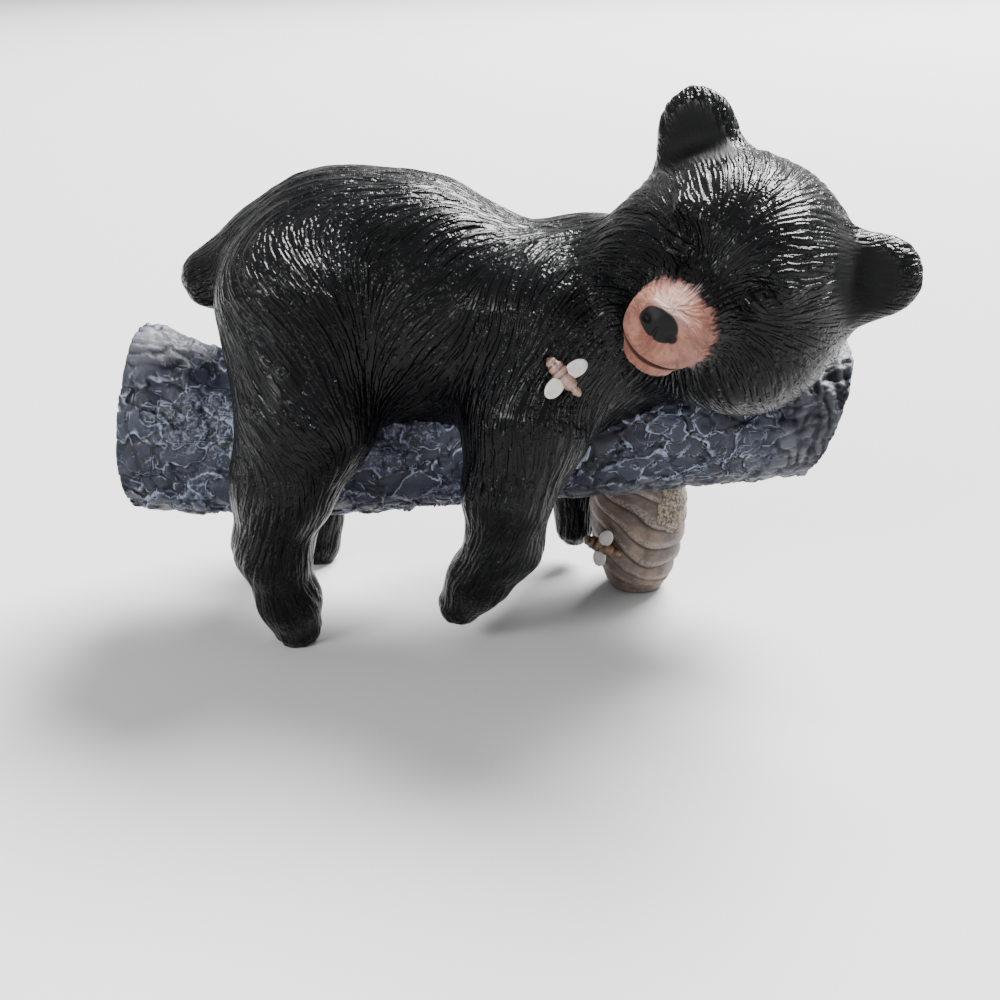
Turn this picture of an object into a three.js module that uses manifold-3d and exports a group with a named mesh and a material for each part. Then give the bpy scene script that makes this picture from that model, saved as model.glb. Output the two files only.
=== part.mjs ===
// A black bear cub asleep over a log: a painted resin garden figure, cast in one with
// its log and with the wasp-paper hive that hangs under it. Two resin bees are glued
// on, one on the cub's shoulder and one on the hive. Millimetres, +Z up, the log along
// X, the cub's face towards -Y and the middle of the footprint at the origin. The
// figure stands on its two hind paws and on the foot of the hive.
import * as THREE from 'three';
import { mergeVertices } from 'three/addons/utils/BufferGeometryUtils.js';
import Module from 'manifold-3d';

const wasm = await Module();
wasm.setup();

// Driving dimensions
const CUB_HEIGHT = 226; // from the ground to the tip of the raised ear
const LOG_LENGTH = 295; // between the middles of its two end faces
const LOG_RADIUS = 32; // half way along
const LOG_TAPER = 8; // what its radius loses from the left end to the right
const BARK_DEPTH = 2.4; // from the bottom of a crack to the face of a plate
const BARK_PLATE = 19; // usual width of a plate of bark
const HIVE_WIDTH = 45; // across its widest layer
const HIVE_FOOT = 17; // across the flat that it stands on
const HIVE_LAYER = 10; // height of one of its overlapping layers
const LAYER_LIP = 1.8; // how far a layer stands out over the next
const BEE_LENGTH = 19; // from the head to the tip of the abdomen
const BEE_WING = 1.2; // thickness of a wing
const GLUE_GAP = 0.35; // between a bee and what it is glued to

const point = (x, y, z) => new THREE.Vector3(x, y, z);
const { clamp, lerp, smoothstep } = THREE.MathUtils;

// The cub is drawn 226 units high, so one unit is this many millimetres. The places of
// the log and the hive under it are drawn in the same units.
const DRAWN_HEIGHT = 226;
const UNIT = CUB_HEIGHT / DRAWN_HEIGHT;
const LOG_MIDDLE = point(-39, 0, 89).multiplyScalar(UNIT);
const LOG_RISE = 9 * UNIT; // the right end's middle is this much above the left one's
const LOG_SAG = 6.5 * UNIT; // its middle hangs this much below the line between its ends
const HIVE_MIDDLE = point(33, 16, 0).multiplyScalar(UNIT);

// Signed distances, in the cub's drawing units
const join = (a, b, soft) => {
  const h = Math.max(soft - Math.abs(a - b), 0) / soft;
  return Math.min(a, b) - (h * h * soft) / 4;
};
const carve = (a, b, soft) => -join(-a, b, soft);
const ball = (p, c, r) => p.distanceTo(c) - r;
const egg = (p, c, r) => {
  const q = p.clone().sub(c).divide(r);
  const near = q.length();
  const slope = q.divide(r).length();
  return slope < 1e-9 ? -Math.min(r.x, r.y, r.z) : (near * (near - 1)) / slope;
};
const taper = (p, a, b, ra, rb) => {
  const along = b.clone().sub(a);
  const t = clamp(p.clone().sub(a).dot(along) / along.lengthSq(), 0, 1);
  return p.distanceTo(a.clone().addScaledVector(along, t)) - lerp(ra, rb, t);
};
const limb = (p, joints, soft) => {
  let d = Infinity;
  for (let i = 1; i < joints.length; i++) {
    const [a, ra] = joints[i - 1];
    const [b, rb] = joints[i];
    d = join(d, taper(p, a, b, ra, rb), soft);
  }
  return d;
};

// The head's own frame: x along the line of the ears, y out along the muzzle, z up to
// the crown. The head lies on its cheek on the log and looks out to the front left.
const HEAD_MIDDLE = point(59.5, -30, 154.5);
const HEAD_OUT = point(-0.351, -0.925, 0.145).normalize();
const HEAD_SIDE = new THREE.Vector3().crossVectors(HEAD_OUT, point(0.563, -0.085, 0.822)).normalize();
const HEAD_UP = new THREE.Vector3().crossVectors(HEAD_SIDE, HEAD_OUT);
const HEAD_FRAME = new THREE.Matrix4().makeBasis(HEAD_SIDE, HEAD_OUT, HEAD_UP).setPosition(HEAD_MIDDLE);
const TO_HEAD = HEAD_FRAME.clone().invert();
const EAR_LEAN = 0.76; // the ears lean outwards by this angle
const EAR_SHIFT = 1.5; // and both sit this much towards the raised side

function head(world) {
  const p = world.clone().applyMatrix4(TO_HEAD);
  const half = point(Math.abs(p.x), p.y, p.z); // both sides are alike
  let d = egg(p, point(0, -2, 3), point(50, 42, 49));
  d = join(d, egg(half, point(22, 10, -11), point(24, 26, 21)), 14); // cheeks
  d = join(d, egg(p, point(0, 20, 20), point(30, 21, 22)), 14); // forehead
  d = join(d, taper(p, point(0, 30, -6), point(0, 52, -11), 20, 15.5), 9); // muzzle
  d = join(d, egg(p, point(0, 45, -25), point(10, 13, 5.5)), 4); // chin
  d = join(d, egg(p, point(0, 62, -7), point(9.5, 7.5, 6.5)), 4); // nose
  d = join(d, egg(half, point(16, 36, 22), point(10, 6, 4.5)), 7); // brows
  d = carve(d, ball(half, point(17, 46, 13), 7), 5); // eye sockets
  d = join(d, ball(half, point(17, 35.5, 13), 5.6), 2); // eyes
  const ear = point(Math.abs(p.x - EAR_SHIFT) - 40, p.y + 4, p.z - 34.5).applyAxisAngle(point(0, 1, 0), -EAR_LEAN);
  const shell = egg(ear, point(0, 0, 0), point(16.5, 9.5, 21.5));
  const bowl = egg(ear, point(0, 13, -1), point(14.5, 8.5, 18.5));
  return join(d, carve(shell, bowl, 3), 8);
}

// The two fore legs and the two hind legs hang down either side of the log.
const NEAR_HIND = [
  [point(-105, -26, 146), 34],
  [point(-103, -44, 106), 27],
  [point(-113, -50, 81), 20.5],
  [point(-121, -49, 52), 15],
  [point(-118, -43, 24), 12.5],
  [point(-117, -38, 8), 11],
];
const FAR_HIND = NEAR_HIND.map(([c, r]) => [point(c.x - 5, -c.y, c.z), r]);
const NEAR_FORE = [
  [point(-12, -22, 134), 35],
  [point(-16, -40, 102), 25],
  [point(-23, -50, 78), 17.5],
  [point(-25, -50, 54), 14.5],
  [point(-36, -46, 36), 12],
  [point(-45, -42, 21), 9.5],
];
const FAR_FORE = [
  [point(4, 24, 134), 34],
  [point(2, 42, 102), 23],
  [point(2, 47, 72), 16],
  [point(3, 44, 44), 11.5],
  [point(4, 37, 19), 9.5],
];

function cub(p) {
  let d = egg(p, point(-97, 0, 143), point(42, 47, 53)); // rump
  d = join(d, egg(p, point(-62, 0, 141), point(46, 46, 53)), 20); // loins
  d = join(d, egg(p, point(-24, 0, 130), point(42, 43, 43)), 18); // ribs
  d = join(d, egg(p, point(8, 0, 131), point(33, 46, 45)), 13); // shoulders
  d = join(d, taper(p, point(10, -4, 130), point(42, -16, 144), 36, 36), 14); // neck
  d = join(d, limb(p, [[point(-126, 0, 162), 17], [point(-147, 0, 152), 13]], 6), 12); // tail
  for (const leg of [NEAR_HIND, FAR_HIND, NEAR_FORE, FAR_FORE]) d = join(d, limb(p, leg, 8), 12);
  return join(d, head(p), 9);
}

// A closed skin over a solid form. The lattice has cells of one size, drawn in towards
// the face so that they are finer there. Each cell that the surface crosses gets one
// vertex, moved onto the surface, and each lattice edge that it crosses one square face.
const CELL = 10.3; // away from the face
const FINE = 0.55; // size of a cell at the middle of the head, as a share of CELL
const FINE_REACH = 75; // how far the drawing in reaches
const LATTICE_FROM = point(-17, -17, -32); // first and last lattice planes, in cells
const LATTICE_TO = point(31, 17, 13);

function latticePoint(i, j, k) {
  const q = point(i, j, k).multiplyScalar(CELL);
  const far = q.length();
  const drawn = far - (1 - FINE) * FINE_REACH * Math.tanh(far / FINE_REACH);
  return q.multiplyScalar(far ? drawn / far : 0).applyMatrix4(HEAD_FRAME);
}

function skin(form) {
  const count = LATTICE_TO.clone().sub(LATTICE_FROM).addScalar(1);
  const slot = (i, j, k) => (k * count.y + j) * count.x + i;
  const places = [];
  for (let k = LATTICE_FROM.z; k <= LATTICE_TO.z; k++)
    for (let j = LATTICE_FROM.y; j <= LATTICE_TO.y; j++)
      for (let i = LATTICE_FROM.x; i <= LATTICE_TO.x; i++) places.push(latticePoint(i, j, k));
  const value = places.map(form);
  const steps = [1, count.x, count.x * count.y];
  fillPinches(value, steps);
  const corners = [0, 1, 2, 3, 4, 5, 6, 7].map((n) =>
    (n & 1) * steps[0] + ((n >> 1) & 1) * steps[1] + (n >> 2) * steps[2]);
  const edges = [0, 1, 2, 3, 4, 5, 6, 7].flatMap((n) =>
    [1, 2, 4].filter((bit) => !(n & bit)).map((bit) => [corners[n], corners[n | bit]]));
  const vertex = new Map();
  const positions = [];
  const faces = [];
  for (let k = 0; k < count.z - 1; k++)
    for (let j = 0; j < count.y - 1; j++)
      for (let i = 0; i < count.x - 1; i++) {
        const cell = slot(i, j, k);
        const crossed = edges.filter(([a, b]) => value[cell + a] < 0 !== value[cell + b] < 0);
        if (!crossed.length) continue;
        const middle = point(0, 0, 0);
        for (const [a, b] of crossed) {
          const share = value[cell + a] / (value[cell + a] - value[cell + b]);
          middle.add(places[cell + a].clone().lerp(places[cell + b], share));
        }
        vertex.set(cell, positions.length / 3);
        positions.push(...settle(form, middle.divideScalar(crossed.length)).toArray());
        if (i && j && k)
          for (let axis = 0; axis < 3; axis++) {
            const inside = value[cell] < 0;
            if (inside === value[cell + steps[axis]] < 0) continue;
            const [b, c] = [steps[(axis + 1) % 3], steps[(axis + 2) % 3]];
            const ring = [0, b, b + c, c].map((back) => vertex.get(cell - back));
            faces.push(inside ? ring : ring.reverse());
          }
      }
  return faceted(positions, faces);
}

// Where inside and outside alternate around a lattice square the skin would touch itself,
// so the nearer of its two outside corners counts as just inside.
function fillPinches(value, [x, y, z]) {
  const squares = [[x, y], [y, z], [z, x]].map(([a, b]) => [0, a, b, a + b]);
  for (let filled = 1; filled; ) {
    filled = 0;
    for (let cell = 0; cell + x + y + z < value.length; cell++)
      for (const square of squares) {
        const outside = square.filter((corner) => value[cell + corner] >= 0);
        if (outside.length !== 2 || outside[0] + outside[1] !== square[3]) continue;
        outside.sort((a, b) => value[cell + a] - value[cell + b]);
        value[cell + outside[0]] = -0.01;
        filled++;
      }
  }
}

// Two steps along the slope of the form bring a point onto its surface.
function settle(form, p) {
  const step = 0.05;
  for (let n = 0; n < 2; n++) {
    const slope = point(
      form(point(p.x + step, p.y, p.z)) - form(point(p.x - step, p.y, p.z)),
      form(point(p.x, p.y + step, p.z)) - form(point(p.x, p.y - step, p.z)),
      form(point(p.x, p.y, p.z + step)) - form(point(p.x, p.y, p.z - step)),
    ).divideScalar(2 * step);
    p.addScaledVector(slope, -form(p) / Math.max(slope.lengthSq(), 0.25));
  }
  return p;
}

// Each square face is split along its shorter diagonal.
function faceted(positions, faces) {
  const at = (n) => new THREE.Vector3().fromArray(positions, n * 3);
  const index = faces.flatMap(([a, b, c, d]) =>
    at(a).distanceTo(at(c)) < at(b).distanceTo(at(d)) ? [a, b, c, a, c, d] : [a, b, d, b, c, d]);
  const geometry = new THREE.BufferGeometry();
  geometry.setAttribute('position', new THREE.Float32BufferAttribute(positions, 3));
  geometry.setIndex(index);
  return geometry;
}

// Rings of points joined into a tube, closed at each end by a fan about its middle
function tube(rings) {
  const sides = rings[0].length;
  const positions = rings.flat().flatMap((p) => p.toArray());
  const index = [];
  for (let r = 1; r < rings.length; r++)
    for (let s = 0; s < sides; s++) {
      const [a, b] = [(r - 1) * sides + s, (r - 1) * sides + ((s + 1) % sides)];
      index.push(a, b, b + sides, a, b + sides, a + sides);
    }
  const middles = [rings[0], rings.at(-1)].map((ring) =>
    ring.reduce((sum, p) => sum.add(p), point(0, 0, 0)).divideScalar(sides));
  for (const middle of middles) positions.push(...middle.toArray());
  const [first, last, hub] = [0, (rings.length - 1) * sides, rings.length * sides];
  for (let s = 0; s < sides; s++) {
    const next = (s + 1) % sides;
    index.push(hub, first + next, first + s, hub + 1, last + s, last + next);
  }
  const geometry = new THREE.BufferGeometry();
  geometry.setAttribute('position', new THREE.Float32BufferAttribute(positions, 3));
  geometry.setIndex(index);
  return geometry;
}

// Height of the bark above its cracks, from 0 to 1, at a place along and around the
// log: plates about scattered middles, with a crack where two of them are equally near
const scatter = (a, b) => {
  const wave = Math.sin(a * 127.1 + b * 311.7) * 43758.5453;
  return wave - Math.floor(wave);
};

function bark(along, turn, around) {
  const [a, b] = [along / BARK_PLATE, turn * around];
  const near = [];
  for (let i = Math.floor(a) - 1; i <= Math.floor(a) + 1; i++)
    for (let j = Math.floor(b) - 1; j <= Math.floor(b) + 1; j++) {
      const row = (j + around) % around;
      const x = i + 0.2 + 0.6 * scatter(i, row);
      const y = j + 0.2 + 0.6 * scatter(row, i + 40);
      near.push([Math.hypot((a - x) * 0.8, b - y), scatter(i * 3, row * 5)]);
    }
  near.sort((m, n) => m[0] - n[0]);
  return smoothstep(near[1][0] - near[0][0], 0, 0.4) * (0.7 + 0.3 * near[0][1]);
}

const LOG_STEP = 6.8; // facets along and around the log

function log() {
  const stations = Math.round(LOG_LENGTH / LOG_STEP);
  const sides = Math.round((2 * Math.PI * LOG_RADIUS) / LOG_STEP);
  const plates = Math.round((2 * Math.PI * LOG_RADIUS) / BARK_PLATE);
  const rings = [];
  for (let n = 0; n <= stations; n++) {
    const t = n / stations;
    const radius = LOG_RADIUS + LOG_TAPER * (0.5 - t);
    const left = 1 - smoothstep(t, 0, 0.14);
    const ring = [];
    for (let s = 0; s < sides; s++) {
      const turn = s / sides;
      const angle = turn * 2 * Math.PI;
      const up = Math.sin(angle);
      const peak = left * (up > 0 ? 0.3 * up ** 3 : 0.08 * up); // bark that curls up at the left end
      const relief = BARK_DEPTH * bark(t * LOG_LENGTH, turn, plates) - BARK_DEPTH / 2;
      const r = radius * (1 + peak) + relief;
      // The right end is cut on the slant, its top further out, and the left one leans the same way.
      const slant = r * up * lerp(0.12, 0.32, t);
      const lift = (t - 0.5) * LOG_RISE - LOG_SAG * Math.sin(Math.PI * t ** 0.8);
      ring.push(point((t - 0.5) * LOG_LENGTH + slant, r * Math.cos(angle), r * up + lift));
    }
    rings.push(ring);
  }
  return tube(rings).translate(...LOG_MIDDLE.toArray());
}

const HIVE_SIDES = 20;
const LAYER_PROFILE = [ // share of a layer's height, share of the lip that stands out there
  [0.06, 0.9], [0.3, 1], [0.65, 0.55], [1, 0],
];
const HIVE_SLANT = 5; // the layers wind round it, lower on one side by this much

function hive() {
  const hang = LOG_MIDDLE.z - LOG_RADIUS * 0.4; // it runs up into the log
  const layers = Math.round(hang / HIVE_LAYER);
  const pitch = hang / layers;
  const levels = [[0, 0]];
  for (let n = 0; n < layers; n++)
    for (const [share, lip] of LAYER_PROFILE) levels.push([(n + share) * pitch, lip]);
  const rings = levels.map(([level, lip]) => {
    const ring = [];
    for (let s = 0; s < HIVE_SIDES; s++) {
      const angle = (s / HIVE_SIDES) * 2 * Math.PI;
      const z = level - HIVE_SLANT * Math.cos(angle + 0.6) * smoothstep(level, 0, 2 * pitch);
      // The outline swells from the foot to its widest layer and hardly narrows to the log.
      const swell = Math.sin((Math.PI / 2) * clamp((z / hang) * 1.9, 0, 1.25)) ** 0.6;
      const r = lerp(HIVE_FOOT / 2, HIVE_WIDTH / 2 - LAYER_LIP, swell) + LAYER_LIP * lip;
      ring.push(point(r * Math.cos(angle), r * Math.sin(angle), z));
    }
    return ring;
  });
  return tube(rings).translate(...HIVE_MIDDLE.toArray());
}

// A bee about its own middle, its head towards +X and its back up: a plump body with
// three bands on the abdomen, a waist, a thorax and a head, and one wing on each side
const BEE_SIDES = 8;
const BEE_OUTLINE = [ // share of the length, radius as a share of the length
  [-0.5, 0.03], [-0.4, 0.12], [-0.35, 0.115], [-0.26, 0.16], [-0.22, 0.15], [-0.1, 0.175],
  [0, 0.13], [0.12, 0.16], [0.24, 0.13], [0.3, 0.075], [0.38, 0.1], [0.5, 0.04],
];
const WING_REACH = 0.5; // from the waist to the tip, as a share of the bee's length
const WING_WIDTH = 0.33;

function bee() {
  const rings = BEE_OUTLINE.map(([along, r]) => {
    const ring = [];
    for (let s = 0; s < BEE_SIDES; s++) {
      const angle = (s / BEE_SIDES) * 2 * Math.PI;
      ring.push(point(along, r * Math.cos(angle), r * Math.sin(angle)).multiplyScalar(BEE_LENGTH));
    }
    return ring;
  });
  let form = solid(tube(rings));
  for (const side of [-1, 1]) {
    const outline = new THREE.Shape();
    outline.absellipse(0, 0, (WING_REACH / 2) * BEE_LENGTH, (WING_WIDTH / 2) * BEE_LENGTH, 0, 2 * Math.PI);
    const wing = new THREE.ExtrudeGeometry(outline, { depth: BEE_WING, bevelEnabled: false, curveSegments: 10 });
    wing.deleteAttribute('normal');
    wing.deleteAttribute('uv');
    wing.rotateZ(side * (Math.PI / 2) - side * 0.1);
    wing.translate(0.03 * BEE_LENGTH, side * (WING_REACH / 2 + 0.03) * BEE_LENGTH, 0.02 * BEE_LENGTH);
    form = form.add(solid(mergeVertices(wing, 1e-4)));
  }
  return surface(form);
}

// A closed mesh as a solid that can be joined and cut, and back
function solid(geometry) {
  const bare = new THREE.BufferGeometry();
  bare.setAttribute('position', geometry.getAttribute('position'));
  bare.setIndex(geometry.getIndex());
  const merged = mergeVertices(bare, 1e-4);
  return new wasm.Manifold(new wasm.Mesh({
    numProp: 3,
    vertProperties: new Float32Array(merged.getAttribute('position').array),
    triVerts: new Uint32Array(merged.getIndex().array),
  }));
}

function surface(form) {
  const mesh = form.getMesh();
  const geometry = new THREE.BufferGeometry();
  geometry.setAttribute('position', new THREE.Float32BufferAttribute(mesh.vertProperties, 3));
  geometry.setIndex(Array.from(mesh.triVerts));
  return geometry;
}

// The casting, with everything below the ground plane cut away so that it stands flat
function casting() {
  const body = solid(skin(cub).scale(UNIT, UNIT, UNIT));
  const ground = new THREE.BoxGeometry(4 * LOG_LENGTH, 4 * LOG_LENGTH, LOG_LENGTH);
  ground.deleteAttribute('normal');
  ground.deleteAttribute('uv');
  ground.translate(0, 0, -LOG_LENGTH / 2);
  return surface(body.add(solid(log())).add(solid(hive())).subtract(solid(ground)));
}

// Glues a bee on: pressed against the casting along a line through the target, its head
// towards the heading, and held clear of the surface by the glue.
function glued(name, colour, target, inward, heading) {
  const mesh = new THREE.Mesh(bee(), new THREE.MeshStandardMaterial({ color: colour, roughness: 0.4 }));
  mesh.name = name;
  const up = inward.clone().negate().normalize();
  const left = new THREE.Vector3().crossVectors(up, heading).normalize();
  const ahead = new THREE.Vector3().crossVectors(left, up);
  mesh.quaternion.setFromRotationMatrix(new THREE.Matrix4().makeBasis(ahead, left, up));
  mesh.position.copy(target).addScaledVector(up, LOG_LENGTH);
  mesh.updateMatrixWorld();
  const ray = new THREE.Raycaster();
  const places = mesh.geometry.getAttribute('position');
  let fall = Infinity;
  for (let n = 0; n < places.count; n++) {
    ray.set(point(0, 0, 0).fromBufferAttribute(places, n).applyMatrix4(mesh.matrixWorld), inward);
    const under = ray.intersectObject(statue)[0];
    if (under) fall = Math.min(fall, under.distance);
  }
  mesh.position.addScaledVector(up, GLUE_GAP - fall);
  return mesh;
}

const statue = new THREE.Mesh(casting(), new THREE.MeshStandardMaterial({
  color: 0x0d0d0f, roughness: 0.3, metalness: 0,
}));
statue.name = 'bear_on_log';
const SHOULDER_SPOT = point(-2, -50, 125).multiplyScalar(UNIT);
const SHOULDER_INWARD = point(-0.1, 0.93, -0.35).normalize();
const HIVE_SPOT = point(HIVE_MIDDLE.x - 0.22 * HIVE_WIDTH, HIVE_MIDDLE.y, 0.33 * LOG_MIDDLE.z);
const HIVE_INWARD = point(0.35, 0.93, 0.05).normalize();
const figure = new THREE.Group();
figure.add(statue);
figure.add(glued('shoulder_bee', 0xb98d7a, SHOULDER_SPOT, SHOULDER_INWARD, point(0.62, 0, -0.78)));
figure.add(glued('hive_bee', 0x6e4c2c, HIVE_SPOT, HIVE_INWARD, point(0.95, 0, -0.25)));

const box = new THREE.Box3().setFromObject(figure);
const middle = box.getCenter(point(0, 0, 0));
figure.position.set(-middle.x, -middle.y, 0);
export default figure;
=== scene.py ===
import math

import bmesh
import bpy
import numpy as np
from mathutils import Matrix, Vector


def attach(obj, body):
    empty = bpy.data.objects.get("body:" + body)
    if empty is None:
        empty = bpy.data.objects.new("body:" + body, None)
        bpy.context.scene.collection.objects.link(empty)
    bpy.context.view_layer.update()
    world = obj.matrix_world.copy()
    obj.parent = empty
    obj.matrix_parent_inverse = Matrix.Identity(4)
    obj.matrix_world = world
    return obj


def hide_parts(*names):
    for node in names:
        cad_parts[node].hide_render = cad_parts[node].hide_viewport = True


# A black bear cub over a log, with a paper hive under it and two bees: painted resin.
# The frame is in metres. Shapes are worked out in millimetres, in the drawing's own
# frame, and moved and scaled at the end.

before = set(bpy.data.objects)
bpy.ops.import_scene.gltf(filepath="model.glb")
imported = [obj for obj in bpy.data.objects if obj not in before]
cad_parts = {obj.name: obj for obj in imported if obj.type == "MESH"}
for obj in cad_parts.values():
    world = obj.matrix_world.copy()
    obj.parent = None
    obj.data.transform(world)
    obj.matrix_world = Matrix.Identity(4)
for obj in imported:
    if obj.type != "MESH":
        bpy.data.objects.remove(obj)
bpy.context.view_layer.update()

MM = 0.001
DRAWN_SHIFT = np.array([30.875, 10.520, 0.0])  # from the drawing's origin to the frame's
SKIN_CELL = 0.8  # width of a face on the cub
ROUGH_CELL = 2.5  # the same on the first rough form


# Signed distances

def unit(v):
    v = np.asarray(v, dtype=float)
    return v / np.linalg.norm(v)


def size(v):
    return np.sqrt((v * v).sum(axis=1))


def smoothstep(x, low, high):
    t = np.clip((x - low) / (high - low), 0, 1)
    return t * t * (3 - 2 * t)


def join(a, b, soft):
    near = np.maximum(soft - np.abs(a - b), 0) / soft
    return np.minimum(a, b) - near * near * soft / 4


def carve(a, b, soft):
    return -join(-a, b, soft)


def ball(p, middle, radius):
    return size(p - np.array(middle)) - radius


def egg(p, middle, radii):
    q = (p - np.array(middle)) / np.array(radii)
    near = size(q)
    return near * (near - 1) / np.maximum(size(q / np.array(radii)), 1e-9)


def taper(p, a, b, ra, rb):
    a = np.array(a, dtype=float)
    along = np.array(b) - a
    t = np.clip((p - a) @ along / (along @ along), 0, 1)
    return size(p - a - t[:, None] * along) - (ra + (rb - ra) * t)


# Head: x along the line of the ears, y out along the muzzle, z up to the crown

HEAD_MIDDLE = np.array([59.5, -30.0, 154.5])
HEAD_OUT = unit([-0.351, -0.925, 0.145])
HEAD_SIDE = unit(np.cross(HEAD_OUT, [0.563, -0.085, 0.822]))
HEAD_TURN = np.array([HEAD_SIDE, HEAD_OUT, np.cross(HEAD_SIDE, HEAD_OUT)])
HEAD_EGGS = [  # middle, radii, softness of the join, mirrored
    ((0, -2, 3), (50, 42, 49), 0, False),
    ((22, 10, -11), (24, 26, 21), 14, True),  # cheeks
    ((0, 20, 20), (30, 21, 22), 14, False),  # forehead
]
EAR_MIDDLE = (40, -4, 34.5)
EAR_RADII = (16.5, 9.5, 21.5)
EAR_LEAN = 0.76  # the ears lean outwards by this angle
EAR_SHIFT = 1.5  # and both sit this much towards the raised side
EAR_BOWL = ((0, 14.5, -5), (15.5, 8.5, 24))
EAR_ROOT = ((0, -1, -15), (14, 6.5, 11))
MUZZLE = ((0, 30, -6), (0, 52, -11))
MUZZLE_RADII = (20, 15.5)
CHIN = ((0, 45, -25), (10, 13, 5.5))
BROWS = ((16, 36, 22), (10, 6, 4.5))
EYE = (17, 35.5, 13)
EYE_RADIUS = 5.6
UPPER_LID, LOWER_LID = 6.8, 6.5  # radii of the lids
SOCKET = ((17, 46, 13), 7)
NOSE = (0, 62, -7)
NOSE_RADII = (9.5, 7.5, 6.5)
NOSTRIL = ((5.7, 68.8, -8.8), (2.1, 2.4, 1.4))
NOSE_FRONT = ((0, 68.5, -7.6), (8.4, 3.0, 5.2))
LIP_CLEFT = ((0, 69, -9), (0, 66, -19))
MOUTH = ((0, 59, -22.6), (13, 5.5, 1.2))
NOSE_REACH = -93.3  # no part of the nose lies beyond this
EAR_REACH = 128.5  # nor of the far ear beyond this
BROW = (0, 42, 8)  # the hair of the head parts here


def to_head(p):
    return (p - HEAD_MIDDLE) @ HEAD_TURN.T


def mirrored_half(p, shift=0.0):
    return np.c_[np.abs(p[:, 0] - shift), p[:, 1:]]


def to_ear(p):
    ear = mirrored_half(p, EAR_SHIFT) - np.array(EAR_MIDDLE)
    c, s = math.cos(EAR_LEAN), math.sin(EAR_LEAN)
    return np.c_[ear[:, 0] * c - ear[:, 2] * s, ear[:, 1], ear[:, 0] * s + ear[:, 2] * c]


def head(world, fine=False):
    """Distance to the head, with fine also its nostrils, lips and eyelids."""
    p = to_head(world)
    half = mirrored_half(p)
    d = None
    for middle, radii, soft, mirrored in HEAD_EGGS:
        lump = egg(half if mirrored else p, middle, radii)
        d = lump if d is None else join(d, lump, soft)
    d = join(d, taper(p, *MUZZLE, *MUZZLE_RADII), 9)
    d = join(d, egg(p, *CHIN), 4)
    d = join(d, egg(p, NOSE, NOSE_RADII), 4)
    d = join(d, egg(half, *BROWS), 7)
    d = carve(d, ball(half, *SOCKET), 5)
    d = join(d, ball(half, EYE, EYE_RADIUS), 2)
    if fine:
        d = join(d, nose_block(p), 1.5)
        d = carve(d, nostril(half), 1.2)
        d = carve(d, taper(p, *LIP_CLEFT, 0.7, 0.5), 0.8)
        d = carve(d, mouth_gap(p), 1)
        look = half - np.array(EYE)
        upper = np.maximum(size(look) - UPPER_LID, 0.2 - look[:, 2] - 0.15 * look[:, 0])
        lower = np.maximum(size(look) - LOWER_LID, look[:, 2] + 2.4)
        d = join(join(d, upper, 0.8), lower, 0.8)
    ear = to_ear(p)
    shell = egg(ear, (0, 0, 0), EAR_RADII)
    shell = carve(shell, ear_bowl(ear), 5)
    d = carve(d, world[:, 1] - NOSE_REACH, 1)
    shell = carve(shell, EAR_REACH - world[:, 0], 1)
    if fine:
        shell = join(shell, egg(ear, *EAR_ROOT), 4)
    return join(d, shell, 8)


def ear_bowl(ear):
    return egg(ear, *EAR_BOWL)


def nose_block(p):
    """A rounded block with a flat front, wider at the top."""
    half = np.c_[5.8 + 0.12 * (p[:, 2] + 7), 0 * p[:, 0] + 3.6, 0 * p[:, 0] + 2.8]
    q = np.abs(p - np.array([0, 61.8, -7.2])) - half
    return size(np.maximum(q, 0)) + np.minimum(q.max(axis=1), 0) - 2.4


def nostril(half):
    return egg(half, *NOSTRIL)


def nose_pad(p):
    """Below zero on the flat front of the nose and in the nostrils."""
    front = np.maximum(egg(p, *NOSE_FRONT), 66.6 - p[:, 1])
    return np.minimum(front, nostril(mirrored_half(p)) - 0.8)


def mouth_gap(p):
    bent = p + np.c_[0 * p[:, 0], 0.03 * p[:, 0] ** 2, -0.02 * p[:, 0] ** 2]
    return egg(bent, *MOUTH)


# Body: eggs along the spine, and four legs that hang down either side of the log

TRUNK = [  # middle, radii, softness of the join
    ((-97, 0, 143), (42, 47, 53), 0),
    ((-62, 0, 141), (46, 46, 53), 20),
    ((-24, 0, 130), (42, 43, 43), 18),
    ((8, 0, 131), (33, 46, 45), 13),
]
NECK = [((10, -4, 130), 36), ((42, -16, 144), 36)]
TAIL = [((-126, 0, 162), 17), ((-147, 0, 152), 13)]
NEAR_HIND = [
    ((-105, -26, 146), 34), ((-103, -44, 106), 27), ((-113, -50, 81), 20.5),
    ((-121, -49, 52), 15), ((-118, -43, 24), 12.5), ((-117, -38, 8), 11),
]
FAR_HIND = [((x - 5, -y, z), r) for (x, y, z), r in NEAR_HIND]
NEAR_FORE = [
    ((-12, -22, 134), 35), ((-16, -40, 102), 25), ((-23, -50, 78), 17.5),
    ((-25, -50, 54), 14.5), ((-36, -46, 36), 12), ((-45, -42, 21), 9.5),
]
FAR_FORE = [
    ((4, 24, 134), 34), ((2, 42, 102), 23), ((2, 47, 72), 16),
    ((3, 44, 44), 11.5), ((4, 37, 19), 9.5),
]
LEGS = [NEAR_HIND, FAR_HIND, NEAR_FORE, FAR_FORE]


def limb(p, joints, soft):
    """Distance to a limb, and the way its hair lies."""
    d, lie, total = None, 0, 0
    for (a, ra), (b, rb) in zip(joints, joints[1:]):
        part = taper(p, a, b, ra, rb)
        share = np.exp(-np.clip(part, -30, 60) / 5)[:, None]
        lie = lie + share * unit(np.subtract(b, a))
        total = total + share
        d = part if d is None else join(d, part, soft)
    return d, lie / total


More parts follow.
